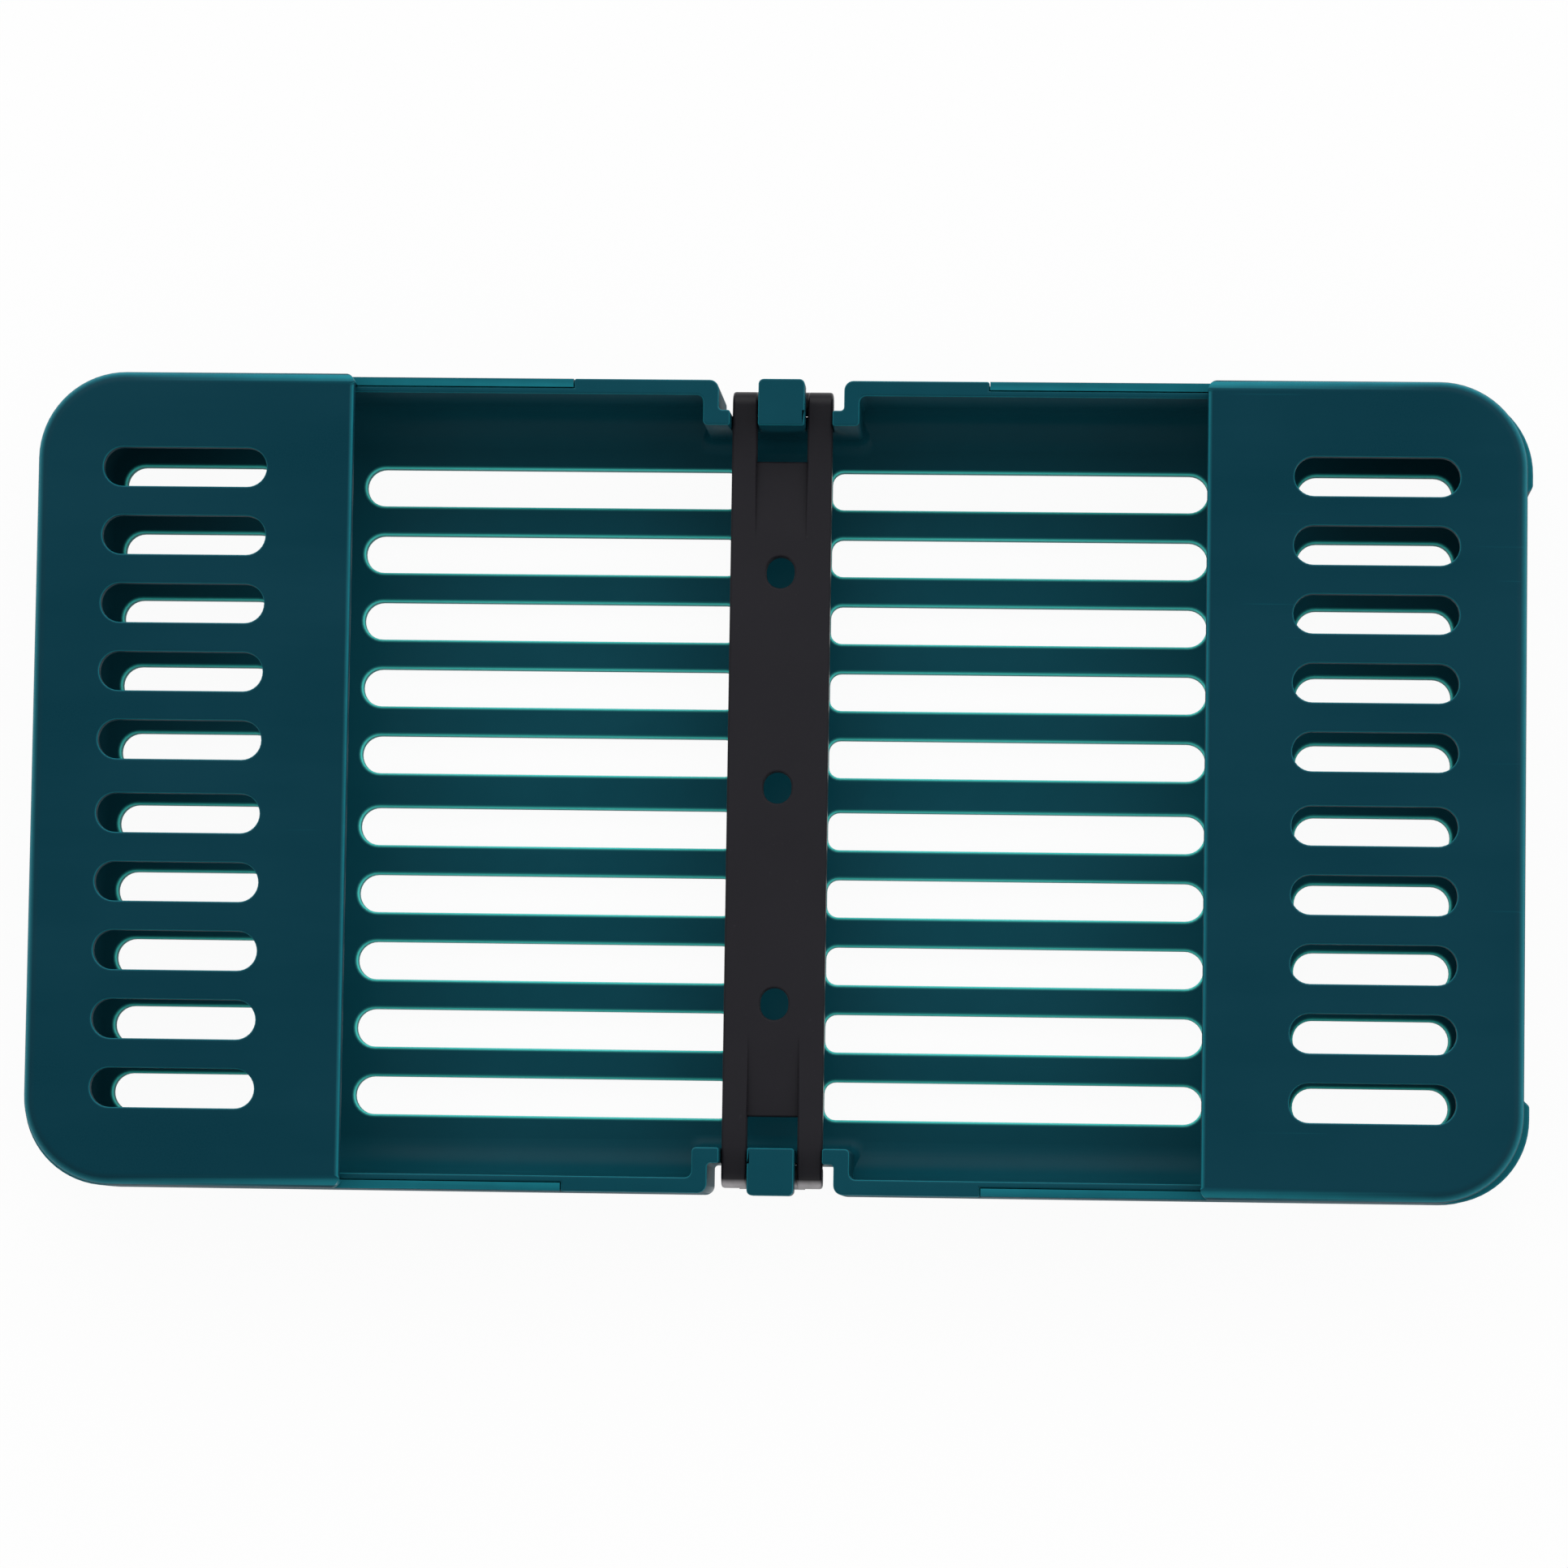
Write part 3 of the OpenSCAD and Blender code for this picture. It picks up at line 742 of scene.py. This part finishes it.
class CASSETTE_OT_covers(bpy.types.Operator):
    """Build the two end covers with their skirts and runner arms"""

    bl_idname = "cassette.covers"
    bl_label = "Covers"

    def execute(self, context):
        tray = context.scene.cassette_tray
        cover = context.scene.cassette_cover
        right = self.cover(tray, cover)
        left = copy_of(right, MIRROR_X)
        left.name = "left_cover_moulding"
        for piece, node in ((left, "left_cover"), (right, "right_cover")):
            finish_piece(piece, node, [node],
                         material_for("teal_moulded_plastic", plastic_material))
        return {"FINISHED"}

    def cover(self, tray, cover):
        """The cover for the +X end."""
        start = cover_high.x - cover.plate_length
        half_width = cover_high.y
        body = centred_box("right_cover_moulding", 2 * cover_high.x, 2 * half_width, cover.corner_radius,
                           cover_low.z, cover_high.z)
        round_edges(body, lambda edge: level(edge, cover_high.z), cover.top_radius)
        far, side = cover_high.x + OVER, half_width + OVER
        behind = box("behind", (-far, -side, cover_low.z - OVER), (cover_low.x, side, cover_high.z + OVER))
        combine(body, behind, "DIFFERENCE")
        ease, corner = start + cover.inner_radius, cover.inner_radius
        above = prism("above", [(-far, -side), (ease, -side), (ease, -half_width),
                                (start, -half_width, corner), (start, half_width, corner),
                                (ease, half_width), (ease, side), (-far, side)],
                      tray.height, cover_high.z + OVER)
        combine(body, above, "DIFFERENCE")
        plate_low = cover_high.z - cover.plate
        inside = centred_box("inside", 2 * (cover_high.x - cover.skirt), 2 * (half_width - cover.skirt),
                             cover.corner_radius - cover.skirt, cover_low.z - OVER, plate_low)
        combine(body, inside, "DIFFERENCE")
        combine(body, self.grooves(tray, cover, half_width), "DIFFERENCE")
        slot_end = cover_high.x - cover.slot_margin
        slot = slot_cutter(slot_end - cover.slot_length, slot_end, cover.slot_width, cover.slot_width / 2,
                           plate_low - OVER, cover_high.z + OVER)
        slots = [copy_of(slot, Matrix.Translation((0, place, 0))) for place in row_places(tray)]
        bpy.data.objects.remove(slot)
        combine(body, gather(slots), "DIFFERENCE")
        self.round_off(body, tray, cover, start)
        return body

    def grooves(self, tray, cover, half_width):
        """The grooves that run on the tray's rails, one in each side."""
        track_face = half_width - cover.skirt - cover.slide_gap
        start = cover_high.x - cover.plate_length + tray.rail_lead - cover.travel - cover.slide_gap
        end = cover_high.x - cover.corner_radius - tray.rail_margin + cover.groove_margin
        top = tray.height - tray.rail_drop + cover.track_gap
        floor = top - tray.rail_height - 2 * cover.track_gap
        groove = box("groove", (start, track_face, floor),
                     (end, track_face + tray.rail_depth + cover.track_gap, top))
        return gather([groove, copy_of(groove, MIRROR_Y)])

    def round_off(self, body, tray, cover, start):
        """Rounds the slot rims first, and then the other sharp edges that show."""
        plate_low = cover_high.z - cover.plate
        slot_start = cover_high.x - cover.slot_margin - cover.slot_length

        def slot_rim(edge):
            flat = level(edge, cover_high.z) or level(edge, plate_low)
            return sharp(edge) and flat and min(vert.co.x for vert in edge.verts) > slot_start - TINY

        def inner(edge):
            return sharp(edge) and all(abs(vert.co.x - start) < TINY for vert in edge.verts)

        def other(edge):
            outside = all(abs(vert.co.y) > cover_high.y - cover.skirt / 2 for vert in edge.verts)
            return sharp(edge) and (level(edge, cover_low.z) or level(edge, tray.height) and outside)

        round_edges(body, slot_rim, cover.slot_edge)
        round_edges(body, inner, cover.inner_edge)
        round_edges(body, other, cover.edge)
        # Painted light on the steep parts of the rounded edges.
        mark(body, "edge", edge_share)
        mark(body, "upright", upright_share)


# Strap


class CASSETTE_OT_strap(bpy.types.Operator):
    """Build the elastic strap with its legs, bars, windows and holes"""

    bl_idname = "cassette.strap"
    bl_label = "Strap"

    def execute(self, context):
        strap = context.scene.cassette_strap
        half = strap_high.x
        end = strap_high.y
        top = strap_high.z
        under = top - strap.thickness
        bar = strap.bar_diameter / 2
        foot = bar_low.z
        inner = end - strap.bar_diameter
        web = inner - strap.window_length

        profile = [(-inner, under), (-inner, foot, bar), (-end, foot, bar), (-end, top, strap.bend_radius),
                   (end, top, strap.bend_radius), (end, foot, bar), (inner, foot, bar), (inner, under)]
        body = prism("strap_moulding", profile, -half, half)
        body.data.transform(ON_ITS_SIDE)
        side = strap.leg_gap / 2
        window = box("window", (-side, web, foot - OVER), (side, end + OVER, top + OVER))
        combine(body, both_ends(window), "DIFFERENCE")
        combine(body, self.dips(strap, web, top), "DIFFERENCE")
        combine(body, self.holes(strap, under, top), "DIFFERENCE")

        def long_edge(edge):
            return sharp(edge) and all(abs(abs(vert.co.x) - half) < TINY for vert in edge.verts)

        round_edges(body, long_edge, strap.edge)
        round_edges(body, sharp, strap.rim)
        bars = self.bars(strap, end - bar, foot + bar, bar + strap.swell)
        combine(body, bars, "UNION")
        bend, pale = end - strap.bend_radius + TINY, end - strap.painted_reflection_end

        # Painted reflection: 1 near the front ends of the legs, on faces that look upwards.
        def stretched(place, normal):
            return share_between(-place.y, pale, (pale + end) / 2) * share_between(normal.z, 0, STEEP)

        # The edge mark carries the painted highlight and the wear on the strap's rounded edges.
        mark(body, "edge", edge_share)
        mark(body, "bend", lambda place, normal: float(abs(place.y) > bend))
        mark(body, "stretched", stretched)
        finish_piece(body, "strap", ["strap", "strap_front_bar"],
                     material_for("black_silicone_rubber", silicone_material))
        return {"FINISHED"}

    def dips(self, strap, web, top):
        """Wedges that let the web down towards the windows."""
        half = strap.leg_gap / 2
        wedge = prism("wedge", [(web - strap.ramp_length, top), (web, top - strap.web_dip),
                                (web + OVER, top - strap.web_dip), (web + OVER, top + OVER),
                                (web - strap.ramp_length, top + OVER)], -half, half)
        wedge.data.transform(ON_ITS_SIDE)
        return both_ends(wedge)

    def holes(self, strap, under, top):
        """The row of oval holes."""
        half = strap.hole_length / 2
        radius = strap.hole_width / 2
        hole = prism("hole", [(-radius, -half, radius), (radius, -half, radius), (radius, half, radius),
                              (-radius, half, radius)], under - OVER, top + OVER)
        outer = [copy_of(hole, Matrix.Translation((0, side * strap.hole_pitch, 0))) for side in (-1, 1)]
        return gather([hole, *outer])

    def bars(self, strap, along, height, radius):
        """The round bars that join the legs, let a little into them."""
        bpy.ops.object.select_all(action="DESELECT")
        bpy.ops.mesh.primitive_cylinder_add(vertices=BAR_SIDES, radius=radius,
                                            depth=strap.leg_gap + 2 * OVER,
                                            location=(0, along, height), rotation=(0, math.pi / 2, 0))
        bpy.ops.object.transform_apply(location=True, rotation=True, scale=True)
        return both_ends(bpy.context.object)


# Stage


class CASSETTE_OT_stage(bpy.types.Operator):
    """Set the floor, the soft lamps, the surroundings and the camera"""

    bl_idname = "cassette.stage"
    bl_label = "Stage"

    def execute(self, context):
        stage = context.scene.cassette_stage
        self.floor(stage)
        self.world(stage)
        self.lamp(stage, "right", math.radians(90), stage.right_power)
        self.lamp(stage, "back", math.radians(180), stage.back_power)
        self.camera(context)
        context.scene.view_settings.view_transform = "Standard"
        return {"FINISHED"}

    def seen(self, shader):
        """1 for rays that show the background itself: straight, mirrored or through glass."""
        path = [shader.node("ShaderNodeLightPath", output=name)
                for name in ("Is Camera Ray", "Is Glossy Ray", "Is Transmission Ray")]
        return shader.node("ShaderNodeMath", {"operation": "ADD", "use_clamp": True},
                           {0: path[0] + path[1], 1: path[2]})

    def floor(self, stage):
        """A plain pale floor that keeps the object's shadow."""
        bpy.ops.object.select_all(action="DESELECT")
        bpy.ops.mesh.primitive_plane_add(size=stage.floor_size, location=(0, 0, -stage.floor_gap))
        bpy.ops.object.transform_apply()
        floor = bpy.context.object
        floor.name = "floor"
        material = bpy.data.materials.new("floor_white")
        shader = Shader(material)
        matte = shader.node("ShaderNodeBsdfDiffuse", None, {"Color": (*stage.floor, 1)})
        white = shader.node("ShaderNodeEmission", None, {"Color": (1, 1, 1, 1), "Strength": 1.0})
        mixed = shader.node("ShaderNodeMixShader", None,
                            {0: self.seen(shader) * (1 - stage.shadow), 1: matte, 2: white})
        shader.node("ShaderNodeOutputMaterial", None, {"Surface": mixed})
        floor.data.materials.append(material)

    def world(self, stage):
        """Surroundings that are brighter at the back and dim above, and white where they are seen."""
        world = bpy.data.worlds.new("surroundings")
        bpy.context.scene.world = world
        shader = Shader(world)
        direction = shader.node("ShaderNodeTexCoord", output="Generated")
        back, up = (shader.node("ShaderNodeSeparateXYZ", None, {0: direction}, output=axis)
                    for axis in (1, 2))
        sides = stage.around + shader.ramp(back, low=-0.3, high=0.7) * stage.behind
        strength = sides * (1 + shader.ramp(up, low=0.86, high=0.96) * (stage.zenith - 1))
        lit = shader.node("ShaderNodeBackground", None, {"Color": (1, 1, 1, 1), "Strength": strength})
        white = shader.node("ShaderNodeBackground", None, {"Color": (1, 1, 1, 1), "Strength": 1.0})
        mixed = shader.node("ShaderNodeMixShader", None, {0: self.seen(shader), 1: lit, 2: white})
        shader.node("ShaderNodeOutputWorld", None, {"Surface": mixed})

    def lamp(self, stage, name, turn, power):
        """A large soft lamp, to one side and above, that faces the middle."""
        bpy.ops.object.select_all(action="DESELECT")
        bpy.ops.object.light_add(type="AREA")
        lamp = bpy.context.object
        lamp.name = name + "_lamp"
        lamp.data.shape = "RECTANGLE"
        lamp.data.size = stage.lamp_length
        lamp.data.size_y = stage.lamp_width
        lamp.data.energy = power
        distance = stage.lamp_distance
        lamp.location = (distance * math.sin(turn), -distance * math.cos(turn), stage.lamp_height)
        lamp.rotation_euler = (-lamp.location).to_track_quat("-Z", "Y").to_euler()

    def camera(self, context):
        """A long lens nearly straight above."""
        data = bpy.data.cameras.new("camera")
        data.lens = LENS
        data.sensor_width = SENSOR_WIDTH
        data.clip_start = NEAREST_SEEN
        data.clip_end = FARTHEST_SEEN
        camera = bpy.data.objects.new("camera", data)
        camera.location = CAMERA_PLACE
        camera.rotation_euler = CAMERA_TURN
        context.scene.collection.objects.link(camera)
        context.scene.camera = camera


class CASSETTE_PT_panel(bpy.types.Panel):
    """Lists the steps and the sizes of the cassette"""

    bl_label = "Cassette"
    bl_space_type = "VIEW_3D"
    bl_region_type = "UI"
    bl_category = "Cassette"

    def draw(self, context):
        for title, operator, name in STEPS:
            section = self.layout.box()
            if operator:
                section.operator(operator)
            settings = getattr(context.scene, name)
            for field in settings.bl_rna.properties.keys()[BUILT_IN_FIELDS:]:
                section.prop(settings, field)


BUILT_IN_FIELDS = 2  # the fields that every PropertyGroup starts with, left out of the panel
STEPS = (
    ("Tray", "cassette.tray", "cassette_tray"),
    ("Covers", "cassette.covers", "cassette_cover"),
    ("Strap", "cassette.strap", "cassette_strap"),
    ("Finish", "", "cassette_finish"),
    ("Stage", "cassette.stage", "cassette_stage"),
)
SETTINGS = {
    "cassette_tray": CassetteTraySettings,
    "cassette_cover": CassetteCoverSettings,
    "cassette_strap": CassetteStrapSettings,
    "cassette_finish": CassetteFinishSettings,
    "cassette_stage": CassetteStageSettings,
}
CLASSES = (*SETTINGS.values(), CASSETTE_OT_tray, CASSETTE_OT_covers, CASSETTE_OT_strap,
           CASSETTE_OT_stage, CASSETTE_PT_panel)


def register():
    """Adds the settings, the operators and the panel to Blender."""
    for each in CLASSES:
        bpy.utils.register_class(each)
    for name, settings in SETTINGS.items():
        setattr(bpy.types.Scene, name, PointerProperty(type=settings))


def unregister():
    """Takes them out again."""
    for name in SETTINGS:
        delattr(bpy.types.Scene, name)
    for each in reversed(CLASSES):
        bpy.utils.unregister_class(each)


def main():
    """Builds everything."""
    register()
    bpy.ops.cassette.tray()
    bpy.ops.cassette.covers()
    bpy.ops.cassette.strap()
    bpy.ops.cassette.stage()


if __name__ == "__main__":
    main()
